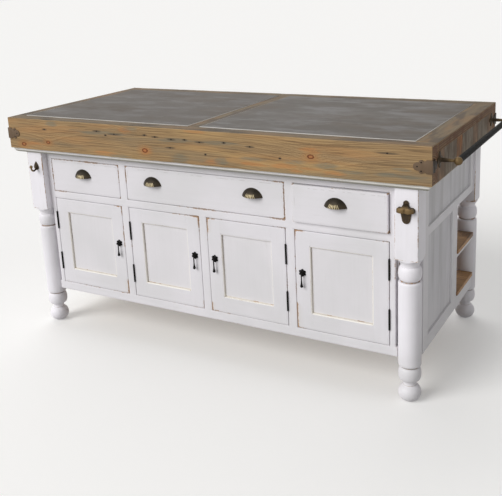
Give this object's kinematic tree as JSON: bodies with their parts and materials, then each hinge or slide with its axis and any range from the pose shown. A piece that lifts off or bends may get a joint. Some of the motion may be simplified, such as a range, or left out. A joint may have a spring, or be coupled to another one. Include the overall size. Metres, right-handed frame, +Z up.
{
  "type": "kitchen island",
  "caption": "Farmhouse kitchen island with turned legs, cupboards and drawers in front, open shelves behind, and a thick pine worktop with let-in zinc sheets.",
  "frame": {"origin": "on the floor, at the middle of the whole unit's footprint, towel rail and coat hook included", "axes": "+X along the worktop towards the towel rail, -Y out of the doors, +Z up"},
  "size_m": [1.876, 0.8554, 0.911],
  "materials": {
    "white_paint": "white brushed paint on pine, rubbed through to dark wood at the edges",
    "inner_wood": "bare sawn pine",
    "drawer_wood": "bare planed pine",
    "shelf_wood": "waxed brown pine",
    "plank_wood": "reclaimed pine with weathered end grain",
    "pine_board": "waxed reclaimed pine with knots, cracks and grey weathering",
    "zinc": "dull mottled zinc",
    "strap_iron": "brown-black forged iron",
    "black_iron": "black iron, slightly worn",
    "antique_brass": "dark antique brass, bright on its high spots"
  },
  "bodies": {
    "cabinet": {"leg_front_left": "white_paint", "leg_front_right": "white_paint", "leg_rear_left": "white_paint", "leg_rear_right": "white_paint", "face_frame_rails": "white_paint", "face_frame_stiles": "white_paint", "corner_returns": "white_paint", "side_frame_left": "white_paint", "side_frame_right": "white_paint", "side_rear_panels": "white_paint", "rear_frame": "white_paint", "cupboard_floor": "inner_wood", "partitions": "inner_wood", "cupboard_back": "white_paint", "cupboard_shelves": "inner_wood", "drawer_deck": "inner_wood", "drawer_guides": "inner_wood", "drawer_kickers": "inner_wood", "rear_shelves": "shelf_wood", "rear_shelf_rails": "white_paint", "rear_dividers": "white_paint", "cornice": "white_paint", "core_planks": "plank_wood", "front_board": "pine_board", "rear_board": "pine_board", "end_boards": "pine_board", "divider_board": "pine_board", "zinc_beds": "inner_wood", "zinc_sheets": "zinc", "corner_straps": "strap_iron", "hinge_frame_leaves": "black_iron", "towel_rail_brackets": "antique_brass", "towel_rail_bar": "black_iron", "bottle_opener": "antique_brass", "coat_hook": "antique_brass"},
    "door_1": {"door_1_frame": "white_paint", "door_1_panel": "white_paint", "door_1_fittings": "black_iron"},
    "drop_1": {"door_1_drop": "black_iron"},
    "door_2": {"door_2_frame": "white_paint", "door_2_panel": "white_paint", "door_2_fittings": "black_iron"},
    "drop_2": {"door_2_drop": "black_iron"},
    "door_3": {"door_3_frame": "white_paint", "door_3_panel": "white_paint", "door_3_fittings": "black_iron"},
    "drop_3": {"door_3_drop": "black_iron"},
    "door_4": {"door_4_frame": "white_paint", "door_4_panel": "white_paint", "door_4_fittings": "black_iron"},
    "drop_4": {"door_4_drop": "black_iron"},
    "left_drawer": {"left_drawer_front": "white_paint", "left_drawer_box": "drawer_wood", "left_drawer_pull": "antique_brass"},
    "middle_drawer": {"middle_drawer_front": "white_paint", "middle_drawer_box": "drawer_wood", "middle_drawer_pulls": "antique_brass"},
    "right_drawer": {"right_drawer_front": "white_paint", "right_drawer_box": "drawer_wood", "right_drawer_pull": "antique_brass"}
  },
  "joints": [
    {"name": "door_1_hinge", "type": "hinge", "parent": "cabinet", "child": "door_1", "pos_m": [-0.766, -0.36575, 0.378], "axis": [0, 0, -1], "range_deg": [0, 110]},
    {"name": "drop_1_swing", "type": "hinge", "parent": "door_1", "child": "drop_1", "pos_m": [-0.4425, -0.37375, 0.408], "axis": [-1, 0, 0], "range_deg": [-4, 80]},
    {"name": "door_2_hinge", "type": "hinge", "parent": "cabinet", "child": "door_2", "pos_m": [-0.379, -0.36575, 0.378], "axis": [0, 0, -1], "range_deg": [0, 110]},
    {"name": "drop_2_swing", "type": "hinge", "parent": "door_2", "child": "drop_2", "pos_m": [-0.0745, -0.37375, 0.408], "axis": [-1, 0, 0], "range_deg": [-4, 80]},
    {"name": "door_3_hinge", "type": "hinge", "parent": "cabinet", "child": "door_3", "pos_m": [0.32, -0.36575, 0.378], "axis": [0, 0, 1], "range_deg": [0, 110]},
    {"name": "drop_3_swing", "type": "hinge", "parent": "door_3", "child": "drop_3", "pos_m": [0.0155, -0.37375, 0.408], "axis": [-1, 0, 0], "range_deg": [-4, 80]},
    {"name": "door_4_hinge", "type": "hinge", "parent": "cabinet", "child": "door_4", "pos_m": [0.707, -0.36575, 0.378], "axis": [0, 0, 1], "range_deg": [0, 110]},
    {"name": "drop_4_swing", "type": "hinge", "parent": "door_4", "child": "drop_4", "pos_m": [0.3835, -0.37375, 0.408], "axis": [-1, 0, 0], "range_deg": [-4, 80]},
    {"name": "left_drawer_slide", "type": "slide", "parent": "cabinet", "child": "left_drawer", "axis": [0, -1, 0], "range_m": [0, 0.28]},
    {"name": "middle_drawer_slide", "type": "slide", "parent": "cabinet", "child": "middle_drawer", "axis": [0, -1, 0], "range_m": [0, 0.28]},
    {"name": "right_drawer_slide", "type": "slide", "parent": "cabinet", "child": "right_drawer", "axis": [0, -1, 0], "range_m": [-0.012, 0.28]}
  ]
}
